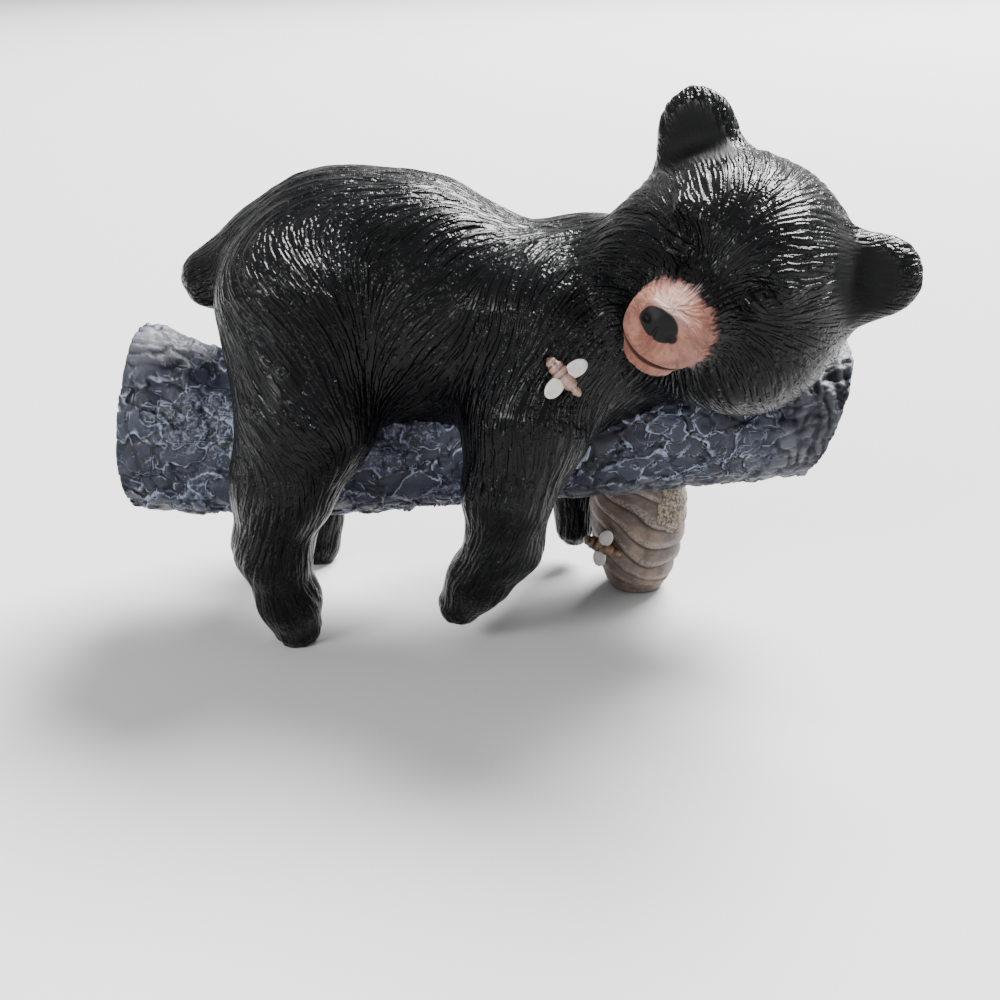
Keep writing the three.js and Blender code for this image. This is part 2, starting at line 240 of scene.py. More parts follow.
def cub(p, lies=False, fine=False):
    """Distance to the cub. With lies also the way its hair lies, and how far off the head."""
    parts = []
    d = None
    flank = smoothstep(np.abs(p[:, 1]), 8, 44)[:, None]
    rear = smoothstep(-p[:, 0], 60, 125)[:, None]
    back = np.array([-1.0, 0, -0.12])
    down = np.array([0.12, 0, -1.0])
    trunk_lie = back + flank * (0.75 + 0.9 * rear) * down + rear * 0.5 * down
    for middle, radii, soft in TRUNK:
        lump = egg(p, middle, radii)
        parts.append((lump, trunk_lie))
        d = lump if d is None else join(d, lump, soft)
    neck, neck_lie = limb(p, NECK, 8)
    parts.append((neck, trunk_lie - 0.2 * neck_lie))
    d = join(d, neck, 14)
    tail, tail_lie = limb(p, TAIL, 6)
    parts.append((tail, tail_lie))
    d = join(d, tail, 12)
    thigh = smoothstep(p[:, 2], 75, 110) * smoothstep(-p[:, 0], 55, 80)
    forward = thigh[:, None] * np.array([0.65, 0, 0])
    for joints in LEGS:
        leg, leg_lie = limb(p, joints, 8)
        leg_lie = leg_lie + forward
        parts.append((leg, leg_lie))
        d = join(d, leg, 12)
    face = head(p, fine)
    d = join(d, face, 9)
    if not lies:
        return d
    local = to_head(p)
    from_nose = smoothstep(local[:, 1], 36, 46)[:, None]
    away = local - np.array(BROW) * (1 - from_nose) - np.array(NOSE) * from_nose
    away /= size(away)[:, None]
    parts.append((face, away @ HEAD_TURN))
    nearest = np.min([part for part, _ in parts], axis=0)
    lie = sum(np.exp(-(part - nearest) / 5)[:, None] * way for part, way in parts)
    return d, lie, face - np.min([part for part, _ in parts[:-1]], axis=0)


def fine_cub(p):
    return cub(p, fine=True)


# Mesh reading, writing and finishing

def places(mesh):
    flat = np.empty(len(mesh.vertices) * 3, dtype=np.float32)
    mesh.vertices.foreach_get("co", flat)
    return flat.reshape(-1, 3).astype(float)


def place(mesh, points):
    mesh.vertices.foreach_set("co", np.asarray(points, dtype=np.float32).ravel())
    mesh.update()


def bearings(mesh):
    flat = np.empty(len(mesh.vertices) * 3, dtype=np.float32)
    mesh.vertex_normals.foreach_get("vector", flat)
    return flat.reshape(-1, 3).astype(float)


def note(mesh, name, values):
    """Keeps a value for each vertex, for the paint."""
    values = np.asarray(values, dtype=np.float32)
    kind, key = ("FLOAT_VECTOR", "vector") if values.ndim == 2 else ("FLOAT", "value")
    layer = mesh.attributes.get(name) or mesh.attributes.new(name, kind, "POINT")
    layer.data.foreach_set(key, values.ravel())


def noted(mesh, name):
    flat = np.empty(len(mesh.vertices) * 3, dtype=np.float32)
    mesh.attributes[name].data.foreach_get("vector", flat)
    return flat.reshape(-1, 3)


def mesh_of(bm, name):
    mesh = bpy.data.meshes.new(name)
    bm.to_mesh(mesh)
    bm.free()
    return mesh


def show(mesh, name, *paints):
    piece = bpy.data.objects.new(name, mesh)
    bpy.context.scene.collection.objects.link(piece)
    for paint in paints:
        mesh.materials.append(paint)
    mesh.polygons.foreach_set("use_smooth", [True] * len(mesh.polygons))
    return piece


def cast_in(mesh, name, paint):
    """Shows a part of the one casting of cub, log and hive, drawn in millimetres."""
    place(mesh, (places(mesh) + DRAWN_SHIFT) * MM)
    piece = show(mesh, name, paint)
    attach(piece, "root")
    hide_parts("bear_on_log")


def fill_in(mesh, cell):
    """Draws one even skin over everything in a mesh."""
    piece = bpy.data.objects.new("rough", mesh)
    bpy.context.scene.collection.objects.link(piece)
    wrap = piece.modifiers.new("skin", "REMESH")
    wrap.mode = "VOXEL"
    wrap.voxel_size = cell
    wrap.adaptivity = 0
    seen = piece.evaluated_get(bpy.context.evaluated_depsgraph_get())
    skin = bpy.data.meshes.new_from_object(seen)
    bpy.data.objects.remove(piece)
    return skin


def settle(mesh, form, rounds, most):
    """Moves each point along its bearing onto the surface of a form."""
    for _ in range(rounds):
        points = places(mesh)
        move = np.clip(form(points), -most, most)
        place(mesh, points - bearings(mesh) * move[:, None])


# Patterns

TILE = 32


def grain(p, pitch, seed):
    """Smooth random values about a lattice of points, from 0 to 1."""
    table = np.random.default_rng(seed).random((TILE, TILE, TILE), dtype=np.float32)
    cell = p / pitch
    low = np.floor(cell)
    part = (cell - low).astype(np.float32)
    part = part * part * (3 - 2 * part)
    low = low.astype(np.int32)
    total = 0
    for corner in range(8):
        step = np.array([corner & 1, corner >> 1 & 1, corner >> 2])
        share = np.prod(np.where(step, part, 1 - part), axis=1)
        i, j, k = ((low + step) % TILE).T
        total = total + share * table[i, j, k]
    return total


def brushed(p, lie, pitch, reach, seed):
    """The same values smeared along a direction: zero on average, with a spread of one."""
    steps = 2 * int(math.ceil(reach / pitch)) + 1
    total = 0
    for share in np.linspace(-1, 1, steps + 2)[1:-1]:
        weight = 0.5 + 0.5 * math.cos(math.pi * share)
        total = total + weight * grain(p + lie * (reach * share), pitch, seed)
    return (total - total.mean()) / total.std()


# Cub

LOCK = dict(pitch=4.2, reach=16, seed=3)  # the wider strokes of the hair
STRAND = dict(pitch=2.1, reach=12, seed=8)  # and the narrower ones
LOCK_DEPTH = 0.35
STRAND_DEPTH = 0.5
LIE_WANDER = 0.9  # how far the lie of the hair turns in all, as an angle


def rough_ball(bm, middle, radii, turn=None):
    turn = Matrix(turn).to_4x4() if turn is not None else Matrix.Identity(4)
    bmesh.ops.create_icosphere(
        bm,
        subdivisions=3,
        radius=1,
        matrix=Matrix.Translation(middle) @ turn @ Matrix.Diagonal((*radii, 1)),
    )


def rough_cub():
    bm = bmesh.new()
    for middle, radii, _ in TRUNK:
        rough_ball(bm, middle, radii)
    for joints in [NECK, TAIL, *LEGS]:
        for (a, ra), (b, rb) in zip(joints, joints[1:]):
            for share in np.linspace(0, 1, 6):
                r = ra + (rb - ra) * share
                rough_ball(bm, np.array(a) + share * np.subtract(b, a), (r, r, r))
    eggs = [(middle, radii) for middle, radii, _, _ in HEAD_EGGS]
    eggs += [(MUZZLE[0], (20, 20, 20)), ((0, 41, -8), (18, 18, 18)), (MUZZLE[1], (15.5, 15.5, 15.5))]
    eggs += [CHIN, (NOSE, NOSE_RADII)]
    for middle, radii in eggs:
        for side in (1, -1):
            local = np.array(middle, dtype=float) * (side, 1, 1)
            rough_ball(bm, HEAD_MIDDLE + local @ HEAD_TURN, radii, HEAD_TURN.T)
    for side in (1, -1):
        lean = np.array(Matrix.Rotation(side * EAR_LEAN, 3, "Y"))
        local = np.array(EAR_MIDDLE) * (side, 1, 1) + (EAR_SHIFT, 0, 0)
        rough_ball(bm, HEAD_MIDDLE + local @ HEAD_TURN, EAR_RADII, HEAD_TURN.T @ lean)
    return mesh_of(bm, "rough_cub")


def cub_skin():
    skin = fill_in(rough_cub(), ROUGH_CELL)
    settle(skin, cub, 4, 3)
    skin = fill_in(skin, SKIN_CELL)
    settle(skin, cub, 2, 1)
    skin = finer_face(skin)
    settle(skin, fine_cub, 3, 0.8)
    return skin


def finer_face(skin):
    """Cuts the faces about the eyes, nose and mouth in four."""
    bm = bmesh.new()
    bm.from_mesh(skin)
    p = to_head(places(skin))
    near_nose = (np.abs(p[:, 0]) < 15) & (p[:, 1] > 52) & (p[:, 2] > -30) & (p[:, 2] < 6)
    near_eye = size(mirrored_half(p) - np.array(EYE)) < 11
    picked = {v for v, near in zip(bm.verts, near_nose | near_eye) if near}
    edges = [e for e in bm.edges if e.verts[0] in picked and e.verts[1] in picked]
    bmesh.ops.subdivide_edges(bm, edges=edges, cuts=1, use_grid_fill=True, smooth=0)
    return mesh_of(bm, "skin")


def flatten(lie, bearing):
    lie = lie - (lie * bearing).sum(axis=1)[:, None] * bearing
    return lie / np.maximum(size(lie), 1e-6)[:, None]


def face_marks(points, off_head):
    """Where the paint of the face changes, from 0 to 1 for each point."""
    p = to_head(points)
    on_head = smoothstep(-off_head, -3, 3)
    from_muzzle = np.hypot(p[:, 0], p[:, 2] + 12)
    muzzle = on_head * (1 - smoothstep(from_muzzle, 14, 21))
    muzzle = muzzle * smoothstep(p[:, 1] - 0.12 * p[:, 2], 38, 51)
    nose = on_head * (1 - smoothstep(nose_pad(p), -0.1, 0.35))
    mouth = on_head * (1 - smoothstep(mouth_gap(p), -0.2, 0.5))
    off_eye = ball(mirrored_half(p), EYE, EYE_RADIUS)
    eye = on_head * (1 - smoothstep(off_eye, 0.3, 1.6)) * (p[:, 1] > 30)
    # Pink paint along the top edge of the nose, partly a painted highlight on that edge.
    rim = on_head * (1 - smoothstep(np.abs(p[:, 0]), 5, 10)) * smoothstep(p[:, 1], 61, 64.5)
    rim = rim * smoothstep(p[:, 2], -5.2, -3.4) * (1 - smoothstep(p[:, 2], -1.5, 0.8))
    ear = to_ear(p)
    inner_ear = on_head * (1 - smoothstep(ear_bowl(ear), 1, 4)) * smoothstep(ear[:, 2], -9, -4)
    return dict(muzzle=muzzle, nose=nose, mouth=mouth, eye=eye, rim=rim, inner_ear=inner_ear)


def furred(skin):
    """Presses the strokes of the hair into the skin, and notes what the paint needs."""
    points, bearing = places(skin), bearings(skin)
    _, lie, off_head = cub(points, lies=True)
    lie = flatten(lie, bearing)
    # The lie wanders a little from place to place.
    turn = (grain(points, pitch=26, seed=5) - 0.5) * LIE_WANDER
    lie = lie * np.cos(turn)[:, None] + np.cross(bearing, lie) * np.sin(turn)[:, None]

    notes = face_marks(points, off_head)
    muzzle, inner_ear = notes["muzzle"], notes["inner_ear"]
    soft = 1 - 0.6 * muzzle - 0.9 * inner_ear
    haired = (1 - notes["nose"]) * (1 - notes["eye"]) * (1 - notes["mouth"])
    lock = smoothstep(brushed(points, lie, **LOCK), -1.6, 1.2)
    strand = smoothstep(brushed(points, lie, **STRAND), -1.4, 1.0)
    depth = LOCK_DEPTH * (1 - lock) * (1 - 0.7 * muzzle) + STRAND_DEPTH * (1 - strand)
    points = points - bearing * (haired * soft * depth)[:, None]
    points[:, 2] = np.maximum(points[:, 2], 0)
    place(skin, points)
    notes["haired"] = haired * (1 - 0.85 * inner_ear)
    notes["lie"] = lie
    notes["bearing"] = bearings(skin)
    for key, values in notes.items():
        note(skin, key, values)
    return skin


def slice_off(mesh, cuts, name):
    """The part of a mesh in front of some planes, closed where it was cut."""
    bm = bmesh.new()
    bm.from_mesh(mesh)
    for middle, facing in cuts:
        cut = bmesh.ops.bisect_plane(
            bm,
            geom=bm.verts[:] + bm.edges[:] + bm.faces[:],
            dist=1e-5,
            plane_co=middle,
            plane_no=facing,
            clear_outer=True,
        )
        rim = [e for e in cut["geom_cut"] if isinstance(e, bmesh.types.BMEdge)]
        bmesh.ops.holes_fill(bm, edges=rim, sides=0)
    return mesh_of(bm, name)


NECK_CUT = ((26, -10, 150), (0.85, -0.35, 0.4))
WAIST_CUT = ((-52, 0, 0), (1, 0, 0))
SPINE_CUT = ((0, 0.01, 0), (0, 1, 0))


def other_side(cut):
    return (cut[0], tuple(-v for v in cut[1]))


CUB_PARTS = {
    "cub_head": [other_side(NECK_CUT)],
    "cub_near_shoulder": [NECK_CUT, other_side(WAIST_CUT), SPINE_CUT],
    "cub_far_shoulder": [NECK_CUT, other_side(WAIST_CUT), other_side(SPINE_CUT)],
    "cub_near_haunch": [NECK_CUT, WAIST_CUT, SPINE_CUT],
    "cub_far_haunch": [NECK_CUT, WAIST_CUT, other_side(SPINE_CUT)],
}


def keep_bearings(mesh):
    """Shades each part by the bearings of the whole, so that no seam shows."""
    bearing = noted(mesh, "bearing").astype(float)
    bearing /= np.maximum(size(bearing), 1e-6)[:, None]
    corners = np.empty(len(mesh.loops), dtype=np.int32)
    mesh.loops.foreach_get("vertex_index", corners)
    per_corner = bearing[corners]
    for face in mesh.polygons:
        if face.loop_total > 8:
            per_corner[face.loop_start:face.loop_start + face.loop_total] = face.normal
    mesh.normals_split_custom_set(per_corner.tolist())
    mesh.attributes.remove(mesh.attributes["bearing"])


def make_cub(paint):
    skin = furred(cub_skin())
    for name, cuts in CUB_PARTS.items():
        mesh = slice_off(skin, cuts, name)
        cast_in(mesh, name, paint)
        keep_bearings(mesh)


# Turned forms: a sheet of faces rolled into a tube and drawn together at both ends

def rolled(name, rows, columns, form):
    """form gives, for shares along and around the sheet, the points and the notes to keep."""
    bm = bmesh.new()
    bmesh.ops.create_grid(bm, x_segments=rows, y_segments=columns, size=0.5)
    mesh = mesh_of(bm, name)
    flat = places(mesh) + 0.5
    points, notes = form(flat[:, 0], flat[:, 1])
    place(mesh, points)
    for key, values in notes.items():
        note(mesh, key, values)
    bm = bmesh.new()
    bm.from_mesh(mesh)
    bmesh.ops.remove_doubles(bm, verts=bm.verts[:], dist=1e-3)
    bmesh.ops.recalc_face_normals(bm, faces=bm.faces[:])
    return mesh_of(bm, name)


# Log

LOG_LENGTH = 295
LOG_RADIUS = 32
LOG_TAPER = 8
LOG_MIDDLE = np.array([-39.0, 0, 89])
LOG_RISE = 9
LOG_SAG = 6.5
BARK_DEPTH = 2.4
BARK_PLATE = 19
FLAKES = 17  # around the log
FLAKE_LENGTH = 15
SCALES = 29
SCALE_LENGTH = 8
RIM_SPREAD = 36  # radius at which the patterns run around the log
LOG_CELL = 0.9
LOG_END = 0.07  # share of the sheet that closes one end


def scatter(a, b):
    wave = np.sin(a * 127.1 + b * 311.7) * 43758.5453
    return wave - np.floor(wave)


def cells(along, around, count, stretch=0.8, jitter=0.6):
    """How much further the second nearest of some scattered middles is, and both their numbers."""
    first = np.full(along.shape, 9.0)
    second = first.copy()
    own = first * 0
    other = first * 0
    for i_step in (-1, 0, 1):
        for j_step in (-1, 0, 1):
            i = np.floor(along) + i_step
            j = np.floor(around) + j_step
            row = (j + count) % count
            x = i + 0.5 - jitter / 2 + jitter * scatter(i, row)
            y = j + 0.5 - jitter / 2 + jitter * scatter(row, i + 40)
            far = np.hypot((along - x) * stretch, around - y)
            number = scatter(i * 3, row * 5)
            closer = far < first
            next_closer = ~closer & (far < second)
            other = np.where(closer, own, np.where(next_closer, number, other))
            second = np.where(closer, first, np.where(next_closer, far, second))
            own = np.where(closer, number, own)
            first = np.where(closer, far, first)
    return second - first, own, other


def bark(t, around, spot):
    """The relief of its plates, flakes and scales, and the notes to keep."""
    plates = round(2 * math.pi * LOG_RADIUS / BARK_PLATE)
    gap, own, _ = cells(t * LOG_LENGTH / BARK_PLATE, around % 1 * plates, plates)
    plate = smoothstep(gap, 0, 0.4) * (0.7 + 0.3 * own)
    # Flat flakes lie at different levels, each with a thin lip where it stands above the next.
    bend_along = 1.1 * (grain(spot, pitch=11, seed=21) - 0.5)
    bend_along = bend_along + 0.3 * (grain(spot, pitch=4, seed=24) - 0.5)
    bend_around = 1.1 * (grain(spot, pitch=8, seed=22) - 0.5)
    bend_around = bend_around + 0.3 * (grain(spot, pitch=3.5, seed=25) - 0.5)
    rows = t * LOG_LENGTH / FLAKE_LENGTH + bend_along
    columns = (around * FLAKES + bend_around) % FLAKES
    gap, own, other = cells(rows, columns, FLAKES, stretch=0.8, jitter=0.9)
    tier = own + (other - own) * 0.5 * (1 - smoothstep(gap, 0, 0.12))
    edge = gap * np.sign(own - other)
    lip = (edge > 0) * (1 - smoothstep(gap, 0.03, 0.16))
    crack = (edge < 0) * (1 - smoothstep(gap, 0.02, 0.14))
    flakes = 2.2 * (tier - 0.6) + 0.6 * lip - 0.9 * crack
    # In places they are broken into smaller domed scales.
    rows = t * LOG_LENGTH / SCALE_LENGTH + bend_around
    columns = (around * SCALES + bend_along) % SCALES
    gap, _, _ = cells(rows, columns, SCALES, stretch=0.9, jitter=0.9)
    broken = smoothstep(grain(spot, pitch=15, seed=28), 0.42, 0.56) + smoothstep(t, 0.7, 0.85)
    crease = np.clip(broken, 0, 1) * (1 - smoothstep(gap, 0, 0.22))
    rough = smoothstep(grain(spot, pitch=16, seed=26), 0.55, 0.75)
    scales = (0.15 + 0.75 * rough) * (grain(spot, pitch=1.9, seed=23) - 0.5) - crease
    return 0.45 * BARK_DEPTH * (plate - 0.5), flakes, scales, edge, own, crease, rough


def torn_fibre(t, angle, left, spot):
    """How torn the bark is, at both ends and under the right end, and the folds in it."""
    up = np.sin(angle)
    wrinkle = smoothstep(t, 0.87, 0.97)
    under = smoothstep(t, 0.6, 0.68) * smoothstep(-up, 0.55, 0.75) * (1 - smoothstep(t, 0.86, 0.94))
    peel = left * smoothstep(up, 0.78, 0.93)
    lengthwise = brushed(spot, np.array([1.0, 0.25, 0]), pitch=3.0, reach=12, seed=27)
    way_round = np.c_[0 * t + 0.25, -np.sin(angle), np.cos(angle)]
    crosswise = brushed(spot, way_round, pitch=3.4, reach=12, seed=29)
    fold = np.tanh(np.abs(np.where(wrinkle > 0.3, crosswise, lengthwise)))
    return np.clip(wrinkle + under + peel, 0, 1), fold


def log_form(along, around):
    t = np.clip((along - LOG_END) / (1 - 2 * LOG_END), 0, 1)
    inward = np.minimum(np.clip(along / LOG_END, 0, 1), np.clip((1 - along) / LOG_END, 0, 1))
    angle = around * 2 * math.pi
    up = np.sin(angle)
    left = 1 - smoothstep(t, 0, 0.14)
    spot = np.c_[t * LOG_LENGTH, RIM_SPREAD * np.cos(angle), RIM_SPREAD * np.sin(angle)]
    plates, flakes, scales, edge, own, crease, rough = bark(t, around, spot)
    torn, fold = torn_fibre(t, angle, left, spot)
    relief = plates + (1 - 0.7 * torn) * flakes + scales + 1.5 * torn * (fold - 0.6)
    peak = left * np.where(up > 0, 0.3 * up ** 3, 0.08 * up)
    r = (LOG_RADIUS + LOG_TAPER * (0.5 - t)) * (1 + peak) + relief
    slant = r * up * (0.12 + 0.2 * t)
    lift = (t - 0.5) * LOG_RISE - LOG_SAG * np.sin(math.pi * t ** 0.8)
    # Both ends are a little hollow, with faint rings.
    side = smoothstep(inward, 0.9, 1)
    on_end = np.c_[
        RIM_SPREAD * inward * np.cos(angle), RIM_SPREAD * inward * np.sin(angle), 90 * t,
    ]
    ring = np.sin(inward * 60 + 5 * grain(on_end, pitch=9, seed=30))
    hollow = 1.5 * (1 - inward) + 0.35 * ring + 0.5 * grain(on_end, pitch=2, seed=33)
    hollow = hollow * (1 - side)
    x = (t - 0.5) * LOG_LENGTH + slant * inward + np.where(along < 0.5, 1, -1) * hollow
    points = np.c_[x, r * np.cos(angle) * inward, r * up * inward + lift]
    notes = {
        "edge": (edge * (1 - 0.8 * torn) + 0.3 * torn) * side + 0.4 * (1 - side),
        "own": own * side,
        "crease": crease * side,
        "rough": rough * (1 - torn) * side,
        "torn": torn * side,
        "fold": fold,
        "ring": ring * (1 - side),
    }
    return points + LOG_MIDDLE, notes


def make_log(paint):
    rows = int(LOG_LENGTH / LOG_CELL / (1 - 2 * LOG_END))
    columns = int(2 * math.pi * LOG_RADIUS / LOG_CELL)
    cast_in(rolled("log", rows, columns, log_form), "log", paint)


# Hive

HIVE_MIDDLE = np.array([33.0, 16, 0])
HIVE_WIDTH = 45
HIVE_FOOT = 17
HIVE_HANG = LOG_MIDDLE[2] - LOG_RADIUS * 0.4  # its height, up into the log
HIVE_SLANT = 5
HIVE_LAYER = 10
LAYER_SLANT = 9
LAYER_LIP = 1.8
LAYER_PROFILE = ((0, 0.0), (0.06, 0.9), (0.3, 1), (0.65, 0.55), (1, 0))
HIVE_LENGTH = 110  # along the wall, with both ends
HIVE_CELL = 0.6
BOTTOM_END, TOP_END = 0.08, 0.04  # shares of the sheet that close the ends


def hive_form(along, around):
    inward = np.clip(along / BOTTOM_END, 0, 1) * np.clip((1 - along) / TOP_END, 0, 1)
    rise = np.clip((along - BOTTOM_END) / (1 - BOTTOM_END - TOP_END), 0, 1)
    angle = around * 2 * math.pi
    height = rise * HIVE_HANG
    pitch = HIVE_HANG / round(HIVE_HANG / HIVE_LAYER)
    z = height - HIVE_SLANT * np.cos(angle + 0.6) * smoothstep(height, 0, 2 * pitch)
    swell = np.sin(math.pi / 2 * np.clip(z / HIVE_HANG * 1.9, 0, 1.25)) ** 0.6
    spot = np.c_[20 * np.cos(angle), 20 * np.sin(angle), z]
    # The layers slant more than the wall and are of uneven breadth.
    layer = height + LAYER_SLANT * np.cos(angle + 0.3) * smoothstep(height, 4, 14)
    layer = layer + 8 * (grain(spot, pitch=17, seed=33) - 0.5)
    lip = np.interp(layer / pitch % 1, *zip(*LAYER_PROFILE)) * (height > 0)
    foot, wall = HIVE_FOOT / 2, HIVE_WIDTH / 2 - LAYER_LIP
    fine = 0.3 * (grain(spot, pitch=2.0, seed=31) - 0.5) - 0.15
    r = foot + (wall - foot) * swell + LAYER_LIP * lip + fine
    points = np.c_[r * np.cos(angle) * inward, r * np.sin(angle) * inward, np.maximum(z, 0)]
    ragged = 5 * (grain(spot, pitch=6, seed=34) - 0.5)
    comb = smoothstep(20 * np.cos(angle + 0.3) + ragged, 12, 15) * smoothstep(z + ragged, 31, 36)
    return points + HIVE_MIDDLE, {"lip": lip, "comb": comb}


def make_hive(paint):
    rows = int(HIVE_LENGTH / HIVE_CELL)
    columns = int(math.pi * HIVE_WIDTH / HIVE_CELL)
    cast_in(rolled("hive", rows, columns, hive_form), "hive", paint)


# Bees

BEE_LENGTH = 19
BEE_WING = 1.2
BEE_OUTLINE = (
    (-0.5, 0.03), (-0.4, 0.12), (-0.35, 0.115), (-0.26, 0.16), (-0.22, 0.15), (-0.1, 0.175),
    (0, 0.13), (0.12, 0.16), (0.24, 0.13), (0.3, 0.075), (0.38, 0.1), (0.5, 0.04),
)


def bee_form(along, around):
    x = along - 0.5
    r = np.interp(x, *zip(*BEE_OUTLINE))
    for shift in (-0.012, 0.012):
        r = r + np.interp(np.clip(x + shift, -0.5, 0.5), *zip(*BEE_OUTLINE))
    r = r / 3 * smoothstep(0.5 - np.abs(x), -0.001, 0.03)
    angle = around * 2 * math.pi
    return np.c_[x, r * np.cos(angle), r * np.sin(angle)] * BEE_LENGTH, {"along": along}


def make_bee(name, node, body_paint, wing_paint, inward, heading):
    up = -unit(inward)
    left = unit(np.cross(up, heading))
    axes = np.array([np.cross(left, up), left, up])
    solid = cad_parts[node]
    spread = places(solid.data) @ axes.T
    middle = (spread.min(axis=0) + spread.max(axis=0)) / 2 @ axes
    mesh = rolled(name, 80, 40, bee_form)
    bm = bmesh.new()
    bm.from_mesh(mesh)
    for side in (-1, 1):
        made = bmesh.ops.create_uvsphere(bm, u_segments=32, v_segments=12, radius=0.5)["verts"]
        for v in made:
            x, y, z = v.co
            v.co = (
                BEE_LENGTH * (0.03 + 0.33 * x + side * 0.05 * y),
                BEE_LENGTH * side * (0.28 + 0.5 * y * side),
                BEE_LENGTH * 0.02 + BEE_WING * (0.5 + math.copysign(min(abs(z) * 1.6, 0.5), z)),
            )
        for face in {f for v in made for f in v.link_faces}:
            face.material_index = 1
    bmesh.ops.recalc_face_normals(bm, faces=bm.faces[:])
    mesh = mesh_of(bm, name)
    place(mesh, places(mesh) @ axes * MM + middle)
    piece = show(mesh, name, body_paint, wing_paint)
    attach(piece, "root")
    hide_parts(node)


# Paint

def put(paint, kind, settings=None, numbered=(), **inputs):
    """Adds a node. An input is a value or another node's output; its name has _ for a space."""
    made = paint.node_tree.nodes.new(kind)
    for name, value in (settings or {}).items():
        setattr(made, name, value)
    wanted = [(made.inputs[number], value) for number, value in numbered]
    wanted += [(made.inputs[name.replace("_", " ")], value) for name, value in inputs.items()]
    for socket, value in wanted:
        if isinstance(value, bpy.types.NodeSocket):
            paint.node_tree.links.new(value, socket)
        else:
            socket.default_value = value
    return made


def colour(red, green, blue):
    return (red, green, blue, 1.0)


def blend(paint, share, a, b):
    settings = {"data_type": "RGBA", "blend_type": "MIX"}
    return put(paint, "ShaderNodeMix", settings, [(0, share), (6, a), (7, b)]).outputs[2]


def kept(paint, name):
    return put(paint, "ShaderNodeAttribute", {"attribute_name": name}).outputs["Fac"]


def sums(paint, way, a, b=0.0):
    return put(paint, "ShaderNodeMath", {"operation": way}, [(0, a), (1, b)]).outputs[0]


def times(paint, a, b):
    return sums(paint, "MULTIPLY", a, b)


def less(paint, share, part):
    """One, less a part of a share."""
    return sums(paint, "SUBTRACT", 1.0, times(paint, share, part))


def level(paint, value, low, high, to_low=0.0, to_high=1.0):
    made = put(
        paint, "ShaderNodeMapRange", {"interpolation_type": "SMOOTHSTEP"},
        Value=value, From_Min=low, From_Max=high, To_Min=to_low, To_Max=to_high,
    )
    return made.outputs["Result"]


def hump(paint, value, low, high, fall, end):
    """Rises from low to high and falls again from fall to end."""
    return times(paint, level(paint, value, low, high), level(paint, value, end, fall))


def here(paint):
    return put(paint, "ShaderNodeTexCoord").outputs["Object"]


def noise(paint, scale, detail=4.0, rough=0.55):
    made = put(
        paint, "ShaderNodeTexNoise", Vector=here(paint), Scale=scale, Detail=detail, Roughness=rough,
    )
    return made.outputs["Fac"]


def mottled(paint, scale, low, high, dark, light, detail=4.0):
    return blend(paint, level(paint, noise(paint, scale, detail), low, high), dark, light)


def smeared(paint, scale, reach, count):
    """Noise smeared along the lie of the hair: strokes as long as twice the reach, in metres."""
    where = here(paint)
    lie = put(paint, "ShaderNodeAttribute", {"attribute_name": "lie"}).outputs["Vector"]
    total = 0.0
    for i in range(count):
        step = reach * (2 * i / (count - 1) - 1)
        moved = put(paint, "ShaderNodeVectorMath", {"operation": "SCALE"}, [(0, lie)], Scale=step)
        spot = put(
            paint, "ShaderNodeVectorMath", {"operation": "ADD"}, [(0, where), (1, moved.outputs[0])],
        )
        value = put(paint, "ShaderNodeTexNoise", Vector=spot.outputs[0], Scale=scale, Detail=0.0)
        total = sums(paint, "ADD", value.outputs["Fac"], total)
    return sums(paint, "DIVIDE", total, float(count))


def bump(paint, height, distance, strength=1.0):
    made = put(paint, "ShaderNodeBump", Strength=strength, Distance=distance, Height=height)
    return made.outputs["Normal"]


def new_paint(name, **shader):
    paint = bpy.data.materials.new(name)
    paint.use_nodes = True
    body = paint.node_tree.nodes["Principled BSDF"]
    for key, value in shader.items():
        body.inputs[key.replace("_", " ")].default_value = value
    return paint


def drive(paint, **outputs):
    body = paint.node_tree.nodes["Principled BSDF"]
    for key, source in outputs.items():
        paint.node_tree.links.new(source, body.inputs[key.replace("_", " ")])


HAIR_BLACK = colour(0.0010, 0.0011, 0.0014), colour(0.0020, 0.0021, 0.0026)
MUZZLE_TAN = colour(0.15, 0.062, 0.044), colour(0.23, 0.108, 0.08)
TAN_STROKE = colour(0.1, 0.04, 0.028)
# pink paint on the top edge of the nose, partly a painted highlight
NOSE_TOP_PINK_AND_HIGHLIGHT = colour(0.2, 0.115, 0.095)
LIP_BROWN = colour(0.04, 0.015, 0.013)
NOSE_BLACK = colour(0.004, 0.004, 0.0045)
LID_BLACK = colour(0.003, 0.003, 0.003)
HAIR_STROKES = dict(scale=780, reach=0.0048, count=13)
HAIR_BUMP = 0.0006


